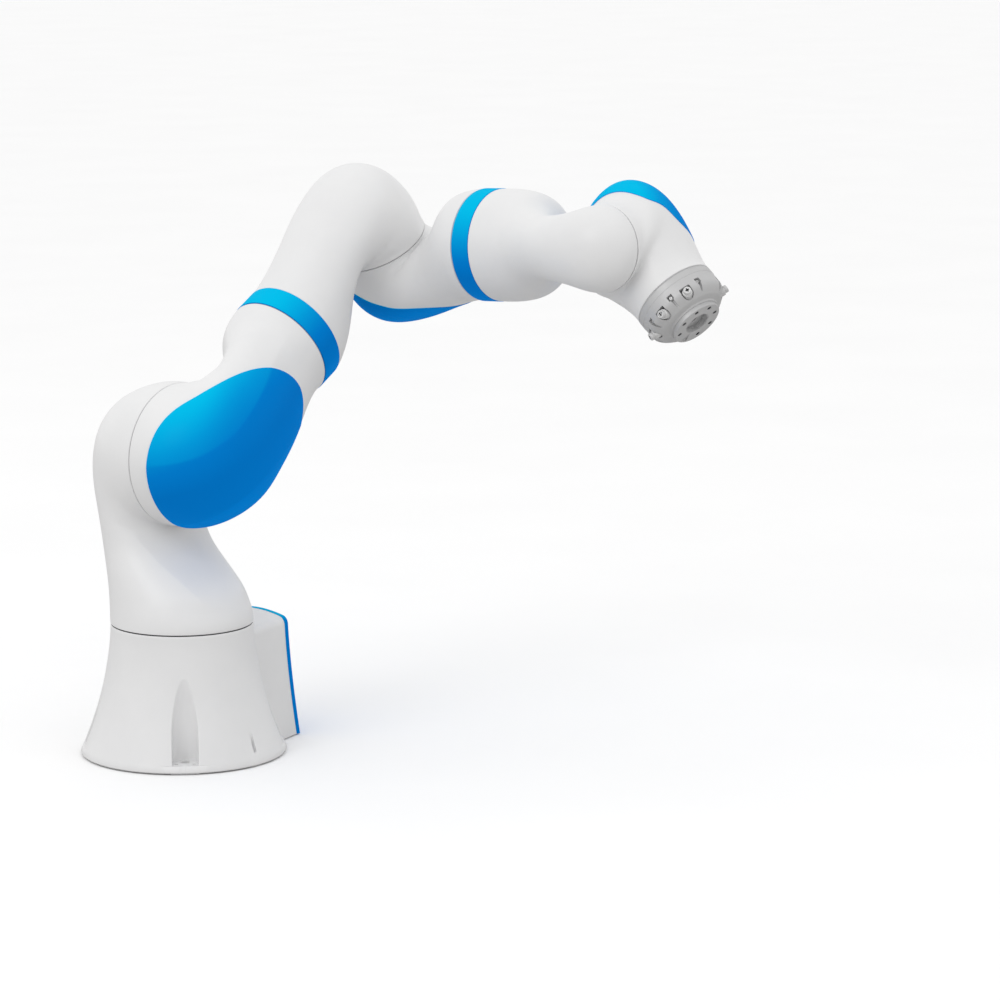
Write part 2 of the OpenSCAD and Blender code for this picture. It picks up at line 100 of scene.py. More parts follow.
SHOULDER = joint_point("shoulder_lean")
ELBOW = joint_point("elbow_bend")
WRIST = joint_point("wrist_bend")
LINK_FRAMES = {
    1: make_frame(SHOULDER, -joint_axis("base_turn"), joint_axis("shoulder_lean")),
    2: make_frame(SHOULDER, joint_axis("upper_arm_roll"), -joint_axis("shoulder_lean")),
    3: make_frame(ELBOW, -joint_axis("upper_arm_roll"), joint_axis("elbow_bend")),
    4: make_frame(ELBOW, joint_axis("forearm_roll"), -joint_axis("elbow_bend")),
    5: make_frame(WRIST, -joint_axis("forearm_roll"), joint_axis("wrist_bend")),
    6: make_frame(WRIST, joint_axis("flange_turn"), -joint_axis("wrist_bend")),
}
UPPER_ARM = np.linalg.norm(ELBOW - SHOULDER)
FOREARM = np.linalg.norm(WRIST - ELBOW)


def stay(points):
    """Leaves points that are in the part's frame already."""
    return np.asarray(points, float)


# ---- Materials ----
COATING_IOR = 1.45


def new_material(name):
    """A material, its shader and a function that adds a node with its settings."""
    m = bpy.data.materials.new(name)
    m.use_nodes = True
    tree = m.node_tree
    shader = tree.nodes["Principled BSDF"]

    def add(kind, **settings):
        node = tree.nodes.new(kind)
        for key, value in settings.items():
            if key[0].islower():
                setattr(node, key, value)
            else:
                node.inputs[key.replace("_", " ")].default_value = value
        return node

    return m, shader, add, tree.links.new


def ramp(add, link, source, stops):
    """A colour ramp fed by source, with (position, colour) stops."""
    node = add("ShaderNodeValToRGB")
    link(source, node.inputs["Fac"])
    elements = node.color_ramp.elements
    while len(elements) < len(stops):
        elements.new(0.5)
    for element, (position, colour) in zip(elements, stops):
        element.position = position
        element.color = (*colour, 1)
    return node.outputs["Color"]


def noise(add, link, where, scale, detail, roughness):
    """The values of a cloudy noise over the places given."""
    node = add("ShaderNodeTexNoise", Scale=scale, Detail=detail, Roughness=roughness)
    link(where, node.inputs["Vector"])
    return node.outputs["Fac"]


def uneven_gloss(add, link, shader, values, rough):
    """Roughness that a noise's values move between the two numbers of rough."""
    spread = add("ShaderNodeMapRange", From_Min=0.3, From_Max=0.7, To_Min=rough[0], To_Max=rough[1])
    link(values, spread.inputs["Value"])
    link(spread.outputs["Result"], shader.inputs["Roughness"])


def relief(add, link, shader, values, strength, depth):
    """A fine relief from a noise's values, depth in millimetres."""
    bump = add("ShaderNodeBump", Strength=strength, Distance=depth * MM)
    link(values, bump.inputs["Height"])
    link(bump.outputs["Normal"], shader.inputs["Normal"])


def finish_material(name, dark, light, rough, grain, depth, metallic=0.0, coat=0.0, coat_rough=0.1):
    """A coating or metal with cloudy tone, uneven gloss and a fine surface grain.

    grain is the size of the surface grain in millimetres, depth its height in millimetres.
    """
    m, shader, add, link = new_material(name)
    where = add("ShaderNodeTexCoord").outputs["Object"]
    cloud = noise(add, link, where, 14.0, 4.0, 0.55)
    link(ramp(add, link, cloud, [(0.35, dark), (0.65, light)]), shader.inputs["Base Color"])
    uneven_gloss(add, link, shader, noise(add, link, where, 60.0, 3.0, 0.6), rough)
    relief(add, link, shader, noise(add, link, where, 1 / (grain * MM), 2.0, 0.5), 1.0, depth)
    shader.inputs["Metallic"].default_value = metallic
    shader.inputs["Coat Weight"].default_value = coat
    shader.inputs["Coat Roughness"].default_value = coat_rough
    shader.inputs["IOR"].default_value = COATING_IOR
    return m


def brushed_material(name, dark, light, rough, stretch):
    """Turned or brushed metal: the grain is long across one direction."""
    m, shader, add, link = new_material(name)
    mapping = add("ShaderNodeMapping")
    mapping.inputs["Scale"].default_value = stretch
    link(add("ShaderNodeTexCoord").outputs["Object"], mapping.inputs["Vector"])
    lines = noise(add, link, mapping.outputs["Vector"], 420.0, 5.0, 0.65)
    link(ramp(add, link, lines, [(0.3, dark), (0.7, light)]), shader.inputs["Base Color"])
    uneven_gloss(add, link, shader, lines, rough)
    relief(add, link, shader, lines, 0.6, 0.03)
    shader.inputs["Metallic"].default_value = 1.0
    return m


PAINTED_LIGHT_FROM = (-0.5, 0.0, 0.866)  # where the painted light falls from: up and a little aside


def painted_light_lacquer_material(name, stops, rough, grain, depth):
    """Blue lacquer with light and shade painted into its colour: as a surface turns towards a fixed
    direction, up and a little aside, its colour goes to a lighter, painted-light cyan, and as it turns away
    to a deeper, painted-shade blue.

    stops are (how far the surface faces that direction, from 0 for away to 1 for towards, colour).
    """
    m, shader, add, link = new_material(name)
    where = add("ShaderNodeTexCoord").outputs["Object"]
    # The colour follows which way the surface faces in the world: painted light on faces turned up and aside,
    # painted shade on faces turned away.
    along = add("ShaderNodeVectorMath", operation="DOT_PRODUCT")
    along.inputs[1].default_value = PAINTED_LIGHT_FROM
    link(add("ShaderNodeNewGeometry").outputs["Normal"], along.inputs[0])
    painted_light_amount = add("ShaderNodeMapRange", From_Min=-1.0, From_Max=1.0, To_Min=0.0, To_Max=1.0)
    link(along.outputs["Value"], painted_light_amount.inputs["Value"])
    flake = add("ShaderNodeMapRange", From_Min=0.0, From_Max=1.0, To_Min=-0.012, To_Max=0.012)
    link(noise(add, link, where, 9.0, 5.0, 0.6), flake.inputs["Value"])
    total = add("ShaderNodeMath", operation="ADD")
    link(painted_light_amount.outputs["Result"], total.inputs[0])
    link(flake.outputs["Result"], total.inputs[1])
    link(ramp(add, link, total.outputs["Value"], stops), shader.inputs["Base Color"])
    uneven_gloss(add, link, shader, noise(add, link, where, 70.0, 3.0, 0.6), rough)
    relief(add, link, shader, noise(add, link, where, 1 / (grain * MM), 2.0, 0.5), 1.0, depth)
    shader.inputs["Specular IOR Level"].default_value = 0.0
    shader.inputs["Coat Weight"].default_value = 0.035
    shader.inputs["Coat Roughness"].default_value = 0.3
    return m


def grey(value, blue=0.0):
    """A neutral colour, or one that is a little bluer."""
    return (value, value, value + blue)


WHITE = finish_material(
    "white_shell",
    grey(0.775, 0.003),
    grey(0.80, 0.002),
    rough=(0.36, 0.46),
    grain=1.6,
    depth=0.012,
    coat=0.12,
    coat_rough=0.25,
)
# Blue covers, rings and end panel: the stops paint a lit cyan on surfaces facing up and aside and a shaded
# deep blue on those facing away.
BLUE = painted_light_lacquer_material(
    "blue_cover",
    [
        (0.20, (0.0, 0.290, 0.91)),
        (0.35, (0.0, 0.235, 0.76)),
        (0.50, (0.0, 0.203, 0.66)),
        (0.65, (0.0, 0.222, 0.68)),
        (0.73, (0.0, 0.270, 0.69)),
        (0.81, (0.0, 0.325, 0.72)),
        (0.90, (0.0, 0.412, 0.76)),
        (0.98, (0.0, 0.49, 0.79)),
    ],
    rough=(0.3, 0.42),
    grain=1.1,
    depth=0.006,
)
GREY = finish_material(
    "grey_flange",
    grey(0.50, 0.002),
    grey(0.55, 0.002),
    rough=(0.42, 0.55),
    grain=0.35,
    depth=0.02,
    metallic=0.25,
)
FITTING = finish_material(
    "fitting_metal",
    grey(0.6),
    grey(0.68),
    rough=(0.32, 0.45),
    grain=0.4,
    depth=0.015,
    metallic=0.4,
)
# Dark seals at the seams; the same dark material is also painted shade on the walls of the flange's threaded
# holes and the fittings' cross recesses.
DARK_SEAL_AND_PAINTED_SHADE = finish_material(
    "dark_seal", (0.035, 0.036, 0.04), grey(0.06, 0.005), rough=(0.6, 0.8), grain=0.4, depth=0.03
)
PALE_SEAL = finish_material(
    "pale_seal", grey(0.44, 0.005), grey(0.5, 0.005), rough=(0.6, 0.8), grain=0.4, depth=0.03
)
BOARD = finish_material(
    "circuit_board", (0.01, 0.12, 0.05), (0.02, 0.2, 0.09), rough=(0.35, 0.5), grain=0.8, depth=0.03, coat=0.3
)
STEEL = brushed_material("bare_steel", (0.5, 0.51, 0.52), (0.66, 0.67, 0.68), (0.22, 0.4), (1, 1, 6))
CAN = brushed_material("motor_can", (0.2, 0.21, 0.22), (0.32, 0.33, 0.34), (0.35, 0.55), (1, 6, 1))


# ---- Meshes ----
MERGE_M = 1e-6  # points nearer than this, in metres, are one


def new_object(name, data):
    """An object in the scene that holds this mesh, light or camera."""
    o = bpy.data.objects.new(name, data)
    bpy.context.scene.collection.objects.link(o)
    return o


def solid_mesh(name, points, faces, merge=False):
    """A mesh of points in millimetres, with its faces turned outwards."""
    mesh = bpy.data.meshes.new(name)
    mesh.from_pydata((np.asarray(points) * MM).tolist(), [], faces)
    work = bmesh.new()
    work.from_mesh(mesh)
    if merge:
        bmesh.ops.remove_doubles(work, verts=work.verts, dist=MERGE_M)
    bmesh.ops.recalc_face_normals(work, faces=work.faces)
    work.to_mesh(mesh)
    work.free()
    return mesh


def add_mesh(name, points, faces, body, nodes, slot, material, place=stay, sharp=40):
    """A smooth-shaded piece on a body, standing for the named CAD nodes."""
    mesh = solid_mesh(name, place(points), faces, merge=True)
    mesh.materials.append(material)
    o = new_object(name, mesh)
    shade(o, sharp)
    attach(o, body)
    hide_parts(*nodes)
    return o


def shade(o, sharp):
    """Smooth shading that keeps edges steeper than this angle crisp."""
    o.data.polygons.foreach_set("use_smooth", [True] * len(o.data.polygons))
    o.data.set_sharp_from_angle(angle=math.radians(sharp))


def grid(rows, columns, first=0, wrap=True):
    """Four-cornered faces of a grid of points that closes on itself round each row."""
    i, j = np.meshgrid(np.arange(rows - 1), np.arange(columns if wrap else columns - 1), indexing="ij")
    k = (j + 1) % columns
    a = first + i * columns
    return np.stack([a + j, a + k, a + columns + k, a + columns + j], -1).reshape(-1, 4).tolist()


def closed_grid(rows, columns):
    """Faces of a grid whose last row meets its first as well."""
    last = (rows - 1) * columns
    closing = [[last + j, last + (j + 1) % columns, (j + 1) % columns, j] for j in range(columns)]
    return grid(rows, columns) + closing


def lathe(profile, steps, closed=True):
    """A profile of (radius, height) points turned about z. A closed profile gives a ring."""
    a = np.arange(steps) * 2 * np.pi / steps
    rings = [np.column_stack([r * np.cos(a), r * np.sin(a), np.full(steps, z)]) for r, z in profile]
    faces = closed_grid(len(rings), steps) if closed else grid(len(rings), steps)
    return np.concatenate(rings), faces


def round_corner(before, corner, after, radius, steps=4):
    """Points of a rounded corner between two straight runs."""
    before, corner, after = (np.array(p, float) for p in (before, corner, after))
    start = corner + (before - corner) / np.linalg.norm(before - corner) * radius
    end = corner + (after - corner) / np.linalg.norm(after - corner) * radius
    t = np.linspace(0, 1, steps + 1)[:, None]
    return (1 - t) ** 2 * start + 2 * t * (1 - t) * corner + t**2 * end


def rounded(points, radii):
    """An outline with each corner rounded by its own radius."""
    out = []
    for i, radius in enumerate(radii):
        if radius == 0:
            out.append(np.array([points[i]], float))
        else:
            out.append(round_corner(points[i - 1], points[i], points[(i + 1) % len(points)], radius))
    return np.concatenate(out)


def circle(radius, steps, x=0.0, y=0.0):
    """Points round a circle about x, y."""
    a = np.arange(steps) * 2 * np.pi / steps
    return np.column_stack([x + radius * np.cos(a), y + radius * np.sin(a)])


def caps(steps):
    """The two end faces of a solid made of two outlines."""
    return [list(range(steps))[::-1], list(range(steps, 2 * steps))]


def prism(outline, low, high):
    """A straight solid on an outline of (x, y) points."""
    n = len(outline)
    points = np.concatenate([np.column_stack([outline, np.full(n, z)]) for z in (low, high)])
    return points, grid(2, n) + caps(n)


def cutter(name, points, faces, material=None):
    """A solid that is taken out of a piece, and the material of the walls it leaves."""
    mesh = solid_mesh(name, points, faces)
    if material:
        mesh.materials.append(material)
    return new_object(name, mesh)


def soften(o, width):
    """Rounds a piece's sharp edges by a small radius."""
    bevel = o.modifiers.new("soft_edges", "BEVEL")
    bevel.width = width * MM
    bevel.segments = 2
    bevel.limit_method = "ANGLE"
    bevel.angle_limit = math.radians(35)


def cut_away(o, cutters, sharp):
    """Takes the cutters' shapes out of a piece for good, and shades it anew."""
    for tool in cutters:
        change = o.modifiers.new("cut", "BOOLEAN")
        change.operation = "DIFFERENCE"
        change.solver = "EXACT"
        change.object = tool
        change.material_mode = "TRANSFER"
    bpy.context.view_layer.update()
    done = bpy.data.meshes.new_from_object(o.evaluated_get(bpy.context.evaluated_depsgraph_get()))
    o.modifiers.clear()
    o.data = done
    for tool in cutters:
        bpy.data.objects.remove(tool)
    shade(o, sharp)


# ---- Smooth housings ----
# Each row is one section of a housing, from its straight end to its elbow seam.
# s runs along the straight end's axis and t along the elbow axis, both from the
# point where the two axes cross. A row holds [inner s, inner t, outer s, outer t,
# half width across the arm, squareness], where 2 is a true ellipse.
def housing_rows(end_s, end_r, middle, seam_r, seam_t=0.0):
    """All rows of a housing: its end circle, the sections between, and its seam circle."""
    reach = seam_t + HALF_GAP
    first = [end_s, -end_r, end_s, end_r, end_r, 2]
    last = [seam_r, reach, -seam_r, reach, seam_r, 2]
    return np.array([first, *middle, last], float)


ROWS = {
    1: housing_rows(
        SHOULDER[2] - BASE_SEAM - HALF_GAP,
        SHOULDER_R,
        [
            [185, -82.5, 185, 86.5, 83.5, 2],
            [162, -68.5, 161, 88.5, 80, 2],
            [139, -43, 130, 92.5, 75.5, 2],
            [118, -17, 94, 97, 72, 2],
            [102, -2, 52, 101.5, 72.5, 2],
            [93, 3.5, 6, 103, 75.5, 2.1],
            [89, 5.5, -42, 91.5, 80, 2.1],
            [87, 7, -71, 61.5, 83.5, 2.1],
            [86, 6, -83.5, 26, 85, 2],
        ],
        SHOULDER_R,
    ),
    2: housing_rows(
        RING_3_AT - HALF_GAP,
        RING_R,
        [
            [188, -66, 188, 69, 66.5, 2],
            [164, -53, 165, 73, 66, 2],
            [138, -29, 138, 81, 67.5, 2],
            [115, -10, 100, 92.5, 72, 2],
            [98, 0, 55, 102, 76, 2],
            [90, 4, 5, 105.5, 80, 2.1],
            [87.5, 6, -42, 92, 82, 2.1],
            [87, 7, -72, 60.5, 84, 2.1],
            [86, 6, -84, 26, 85, 2],
        ],
        SHOULDER_R,
    ),
    3: housing_rows(
        UPPER_ARM - RING_3_AT - RING_3_H,
        RING_R,
        [
            [165, -63, 165, 72.5, 64.5, 2],
            [141, -46, 137, 81, 61.5, 2],
            [119, -20, 102, 93, 59.5, 2],
            [98, -1, 65, 105, 60.5, 2],
            [81, 5.5, 25, 113, 63, 2],
            [70, 6, -14, 109, 64, 2.1],
            [66, 6.5, -43, 83, 63.5, 2.1],
            [64, 6.5, -57.5, 46, 63, 2.1],
            [63, 5, -61.5, 19, 62, 2],
        ],
        ELBOW_R,
    ),
    4: housing_rows(
        RING_5_AT - HALF_GAP,
        RING_R,
        [
            [158, -67.5, 158, 69.5, 64, 2],
            [136, -59, 137, 75, 59, 2],
            [115, -37, 108, 83.5, 55.5, 2],
            [95, -17, 74, 94.5, 56.5, 2],
            [79, -6, 35, 102.5, 62.5, 2],
            [68, 0, -4, 99, 67, 2.1],
            [65, 4, -37, 77, 68, 2.1],
            [64, 6, -55.5, 44, 64.5, 2.1],
            [63, 5, -61.5, 18.5, 62.5, 2],
        ],
        ELBOW_R,
    ),
    5: housing_rows(
        FOREARM - RING_5_AT - RING_5_H,
        RING_R,
        [
            [172, -68, 172, 68.5, 67.5, 2],
            [141, -64, 146, 72, 61.5, 2],
            [123, -36, 122, 79, 48.5, 2],
            [109, 0, 90, 93.5, 39.5, 2],
            [92, 35.5, 55, 105.5, 38, 2],
            [72, 55, 15, 111, 40.5, 2.1],
            [59, 64, -18, 106, 45, 2.1],
            [54, 67, -40, 90.5, 49, 2.1],
            [52, 66, -50, 76, 51, 2],
        ],
        WRIST_R,
        WRIST_OFFSET,
    ),
    6: housing_rows(
        WRIST_SEAM - HALF_GAP,
        WRIST_R,
        [
            [68, -51, 62, 53.5, 52, 2],
            [58, -50, 33, 59.5, 56.5, 2],
            [52, -49, -6, 63.2, 62.5, 2],
            [48, -48.5, -45, 56.2, 67.5, 2],
            [46, -50, -72.8, 34.5, 69, 2.1],
            [47, -53, -82, 4.5, 64.5, 2.1],
            [50, -56.5, -66.5, -22.5, 56, 2],
            [51.5, -60, -55, -45, 52.5, 2],
        ],
        WRIST_R,
        -WRIST_OFFSET,
    ),
}


def smooth_rows(rows, u):
    """The rows at places u along the housing, on a curve with no kinks in its bend."""
    n = len(rows)
    system = np.diag(np.full(n, 4.0)) + np.diag(np.ones(n - 1), 1) + np.diag(np.ones(n - 1), -1)
    system[0, :3] = [1, -2, 1]
    system[-1, -3:] = [1, -2, 1]
    right = np.zeros_like(rows)
    right[1:-1] = 6 * (rows[2:] - 2 * rows[1:-1] + rows[:-2])
    bend = np.linalg.solve(system, right)
    i = np.clip(np.floor(u).astype(int), 0, n - 2)
    f = (u - i)[:, None]
    g = 1 - f
    return g * rows[i] + f * rows[i + 1] + ((g**3 - g) * bend[i] + (f**3 - f) * bend[i + 1]) / 6


def bulge(v, n):
    """A sine or cosine swelled by the squareness n: 2 leaves it, and more squares it off."""
    return np.sign(v) * np.abs(v) ** (2 / n)


# Soft creases that run along a housing on both its sides: [height, width, rows,
# angles in degrees at those rows, rows where the crease starts, is full, fades and ends]
CREASES = {
    1: (3.8, 28, (1.5, 2.5, 3.4, 4.4, 5.0), (158, 150, 142, 134, 128), (1.2, 2.2, 4.4, 5.4)),
    2: (2.2, 30, (3.4, 4.1, 4.9, 6.0, 8.5), (40, 35, 31, 25.5, 30), (0.4, 2.4, 8.4, 9.6)),
}


def crease(number, u, angle):
    """How far a housing's soft creases lift its skin."""
    if number not in CREASES:
        return np.zeros(len(u))
    height, width, at_rows, at_angles, fade = CREASES[number]
    around = np.abs((angle + np.pi) % (2 * np.pi) - np.pi)
    away = np.abs(around - np.radians(np.interp(u, at_rows, at_angles))) * SHOULDER_R
    t = np.interp(u, fade, (0, 1, 1, 0))
    return height * np.exp(-away / width) * t * t * (3 - 2 * t)


def skin(number, u, angle, depth=0.0):
    """Points of a housing's skin, or below it. Angle 0 is the outer side of the elbow."""
    r = smooth_rows(ROWS[number], u)
    depth = depth - crease(number, u, angle)
    half_s, half_t = (r[:, 2] - r[:, 0]) / 2, (r[:, 3] - r[:, 1]) / 2
    keep = 1 - depth / np.hypot(half_s, half_t)
    c = keep * bulge(np.cos(angle), r[:, 5])
    return np.column_stack(
        [
            (r[:, 4] - depth) * bulge(np.sin(angle), r[:, 5]),
            -(r[:, 1] + r[:, 3]) / 2 - half_t * c,
            (r[:, 0] + r[:, 2]) / 2 + half_s * c,
        ]
    )


def skin_normal(number, u, angle):
    """Outward normals of a housing's skin."""
    step = 1e-3
    top = len(ROWS[number]) - 1
    along = skin(number, np.minimum(u + step, top), angle) - skin(number, np.maximum(u - step, 0), angle)
    around = skin(number, u, angle + step) - skin(number, u, angle - step)
    n = np.cross(around, along)
    n /= np.linalg.norm(n, axis=1)[:, None]
    r = smooth_rows(ROWS[number], u)
    middle = np.column_stack([0 * u, -(r[:, 1] + r[:, 3]) / 2, (r[:, 0] + r[:, 2]) / 2])
    out = skin(number, u, angle) - middle
    return n * np.sign((n * out).sum(1))[:, None]


LIP = 0.8  # rounding of a housing's rim at a seam
LIP_ROWS = LIP / 20  # how far the rounding reaches along the rows


def shell(number, along, around):
    """A hollow cast housing with softly rounded rims, as one closed solid."""
    last = len(ROWS[number]) - 1
    places = np.linspace(0, last, along)
    turns = np.linspace(np.pi / 2, 0, 4)
    rim = [(LIP_ROWS * (1 - math.sin(a)), LIP * (1 - math.cos(a))) for a in turns]
    spots = rim + [(place, 0.0) for place in places if LIP_ROWS < place < last - LIP_ROWS]
    spots += [(last - step, sink) for step, sink in rim[::-1]]
    spots += [(place, WALL) for place in places[::-2]]
    angle = np.arange(around) * 2 * np.pi / around
    rings = [skin(number, np.full(around, place), angle, depth) for place, depth in spots]
    return np.concatenate(rings), closed_grid(len(rings), around)


FINE = (170, 240)  # steps along and around a housing with a crease
PLAIN = (84, 112)


def link_piece(number, kind, node, solid, slot, material, place, sharp=40):
    """A piece on a link, which stands for one of the link's CAD nodes."""
    body = f"link_{number}"
    add_mesh(f"{body}_{kind}", *solid, body, [f"{body}_{node}"], slot, material, place, sharp)


for number in ROWS:
    solid = shell(number, *(FINE if number in CREASES else PLAIN))
    link_piece(number, "shell", "housing", solid, "white_shell", WHITE, LINK_FRAMES[number], sharp=60)


# ---- Blue covers ----
# [row of greatest width, rows towards the end, rows towards the seam, half angle,
#  squareness towards the end, squareness towards the seam, turn]
COVERS = {
    2: (6.7, 3.9, 2.25, 85, 1.7, 2.5, 3),
    4: (6.3, 3.9, 2.5, 92, 1.7, 2.2, 0),
    6: (4.6, 2.78, 2.3, 97.5, 2.6, 3.0, 0),
}
PROUD = 0.9  # how far a cover stands off its housing
SUNK = 1.6  # how far its underside lies in the housing


def cover_spot(number, reach, turn):
    """Where a cover's point lies on the housing: its row and its angle."""
    middle, to_end, to_seam, half_angle, end_n, seam_n, shift = COVERS[number]
    c, s = np.cos(turn), np.sin(turn)
    n = np.where(c > 0, seam_n, end_n)
    u = middle + reach * np.where(c > 0, to_seam, to_end) * bulge(c, n)
    return u, math.radians(shift) + reach * math.radians(half_angle) * bulge(s, n)


def cover(number, rings, around):
    """A thin moulded cover that follows the housing, with a rounded edge all round."""
    turn = np.arange(around) * 2 * np.pi / around
    reaches = np.sin(np.linspace(0, np.pi / 2, rings)[1:-1])
    # Each layer is a loop round the cover: (how far out, height over the housing)
    layers = [(reach * 0.995, PROUD) for reach in reaches]
    layers += [(0.9965, PROUD * 0.93), (0.9985, PROUD * 0.7), (0.9997, PROUD * 0.3), (1.0, -0.6)]
    layers += [(0.99, -SUNK), (0.7, -SUNK), (0.4, -SUNK)]
    skins = []
    for reach, height in layers:
        u, angle = cover_spot(number, reach, turn)
        skins.append(skin(number, u, angle) + skin_normal(number, u, angle) * height)
    u, angle = cover_spot(number, 0.0, turn[:1])
    centre, normal = skin(number, u, angle), skin_normal(number, u, angle)
    points = np.concatenate([centre + normal * PROUD, *skins, centre - normal * SUNK])
    faces = grid(len(skins), around, first=1)
    faces += [[0, 1 + (j + 1) % around, 1 + j] for j in range(around)]
    last = 1 + (len(skins) - 1) * around
    faces += [[last + j, last + (j + 1) % around, last + around] for j in range(around)]
    return points, faces


for number in COVERS:
    solid = cover(number, *((90, 300) if number in CREASES else (40, 144)))
    link_piece(number, "cover", "cap", solid, "blue_cover", BLUE, LINK_FRAMES[number], sharp=50)


# ---- Blue rings ----
RING_PROUD = 0.5
RING_GAP = 0.15  # between a ring and the next housing


def ring(low, high):
    """A band with rounded edges, slightly proud of the housings beside it."""
    inner, outer = RING_R - WALL, RING_R + RING_PROUD
    corners = [(inner, low), (outer, low), (outer, high), (inner, high)]
    return lathe(rounded(corners, [0.5, 1.0, 1.0, 0.5]), 160)


for number, low, height in ((3, RING_3_AT, RING_3_H), (5, RING_5_AT, RING_5_H)):
    solid = ring(low + HALF_GAP, low + height - RING_GAP)
    link_piece(number, "band", "ring", solid, "blue_cover", BLUE, LINK_FRAMES[number - 1])


# ---- Base ----
FOOT_ROUND = 1.8
BASE_TOP = BASE_SEAM - HALF_GAP
BASE_INSIDE_R = 84
ON_SKIN = 26  # points along the skin on each side of a pocket
ON_LIP = 5  # points round a pocket's edge
ON_WALL = 25  # points along a pocket's wall
MEASURED = 200  # steps in which a pocket's wall is measured
LIP_LENGTH = 1.6  # of a pocket's rounded edge


def flare(z):
    """Radius of the flared base at a height."""
    return SHOULDER_R + (FOOT_R - SHOULDER_R) * np.clip((BASE_SEAM - z) / BASE_SEAM, 0, 1) ** 1.75


def pocket_half_angle(z):
    """Half the angle that a bolt pocket takes out of the base's skin at a height."""
    f = flare(z)
    if f * f - POCKET_R**2 > POCKET_AT**2:
        return math.asin(POCKET_R / f)
    c = (f * f + POCKET_AT**2 - POCKET_R**2) / (2 * f * POCKET_AT)
    return math.acos(c) if c < 1 else 0.0


def pocket_wall(z, steps):
    """The pocket's wall at a height, from one side round the back to the other."""
    half = pocket_half_angle(z)
    f = flare(z)
    side, out = f * math.sin(half), f * math.cos(half)
    line = []
    straight = max(out - POCKET_AT, 0)
    start = math.pi / 2 if straight > 0 else math.atan2(side, out - POCKET_AT)
    arc = 2 * (math.pi - start) * POCKET_R
    length = 2 * straight + arc
    for t in np.linspace(0, length, steps):
        if t < straight:
            line.append((out - t, -POCKET_R))
        elif t > length - straight:
            line.append((out - (length - t), POCKET_R))
        else:
            a = start + (t - straight) / POCKET_R
            line.append((POCKET_AT + POCKET_R * math.cos(a), -POCKET_R * math.sin(a)))
    return np.array(line)


def on_flare(z, low, high, steps):
    """Points along the base's skin at a height, from one angle to another."""
    a = np.linspace(low, high, steps)
    return np.column_stack([flare(z) * np.cos(a), flare(z) * np.sin(a)])


def lip_curve(start, corner, end):
    """The points between the two ends of a pocket's rounded edge."""
    t = np.linspace(0, 1, ON_LIP + 2)[1:-1, None]
    return (1 - t) ** 2 * start + 2 * t * (1 - t) * corner + t**2 * end


def pocket_line(z, half, cut, lip, start):
    """A pocket's edges and wall at a height; start is the last point of the skin beside it."""
    wall = pocket_wall(z, MEASURED)
    length = np.r_[0, np.cumsum(np.linalg.norm(np.diff(wall, axis=0), axis=1))]
    inside = np.linspace(lip, length[-1] - lip, ON_WALL)
    line = np.column_stack([np.interp(inside, length, wall[:, k]) for k in (0, 1)])
    if cut < 1:
        front = on_flare(z, -half, half, MEASURED)
        across = np.linspace(1, MEASURED - 2, ON_WALL)
        flat = np.column_stack([np.interp(across, np.arange(MEASURED), front[:, k]) for k in (0, 1)])
        line = flat * (1 - cut) + line * cut
    edge = lip_curve(start, wall[0], line[0])
    return np.concatenate([edge, line, (edge * [1, -1])[::-1]])


def base_section(z, cut, radius=None):
    """One closed section of the base: four quarters, each with a bolt pocket in its middle.

    cut is how far the pocket is carried in from the skin, from 0 to 1.
    """
    f = flare(z) if radius is None else radius
    half = pocket_half_angle(z) if cut else 0.0
    half = max(half, math.radians(0.4))  # wide enough that the points stay apart
    lip = min(LIP_LENGTH, half * f * 0.45)
    left = on_flare(z, -math.pi / 4, -half - lip / f, ON_SKIN)
    if cut and pocket_half_angle(z) > math.radians(0.5):
        middle = pocket_line(z, half, cut, lip, left[-1])
    else:
        middle = on_flare(z, -half, half, ON_WALL + 2 * ON_LIP)
    quarter = np.concatenate([left, middle, (left * [1, -1])[::-1][:-1]])
    if radius is not None:
        quarter *= (radius / np.linalg.norm(quarter, axis=1))[:, None]
    out = []
    for k in range(4):
        a = math.radians(45 + 90 * k)
        turn = np.array([[math.cos(a), math.sin(a)], [-math.sin(a), math.cos(a)]])
        out.append(quarter @ turn)
    section = np.concatenate(out)
    return np.column_stack([section, np.full(len(section), z)])


def base_shell():
    """The flared base with its pockets, foot rounding and top rim, back down to its foot inside."""
    low = FOOT_H + FOOT_ROUND
    sections = [base_section(FOOT_H, 0, r) for r in (BASE_INSIDE_R, 100, 114)]
    for a in np.radians(np.linspace(-90, 0, 7)):
        r = flare(low) - FOOT_ROUND + FOOT_ROUND * math.cos(a)
        sections.append(base_section(low + FOOT_ROUND * math.sin(a), 0, r))
    sections.append(base_section(POCKET_FLOOR - 0.4, 0))
    sections += [base_section(POCKET_FLOOR, cut) for cut in (1e-6, 0.25, 0.5, 0.75, 1.0)]
    tip = next(z for z in np.arange(POCKET_FLOOR, BASE_TOP, 0.25) if pocket_half_angle(z) == 0)
    near_tip = 16  # the sections draw closer over this height below the pockets' tips
    heights = np.r_[
        np.linspace(POCKET_FLOOR + 0.8, tip - near_tip, 26),
        tip - near_tip * (1 - np.linspace(0, 1, 20)[1:]) ** 1.6,
        np.linspace(tip + 1, BASE_TOP - 0.8, 20),
    ]
    sections += [base_section(z, 1) for z in heights]
    rim = [(SHOULDER_R - 0.25, BASE_TOP - 0.25), (SHOULDER_R - 0.8, BASE_TOP), (SHOULDER_R - WALL, BASE_TOP)]
    inside = [(SHOULDER_R - WALL, BASE_TOP - 6), (79, 140)]
    inside += [(BASE_INSIDE_R, z) for z in (100, 40, FOOT_H)]
    sections += [base_section(z, 0, r) for r, z in rim + inside]
    return np.concatenate(sections), grid(len(sections), len(sections[0]))


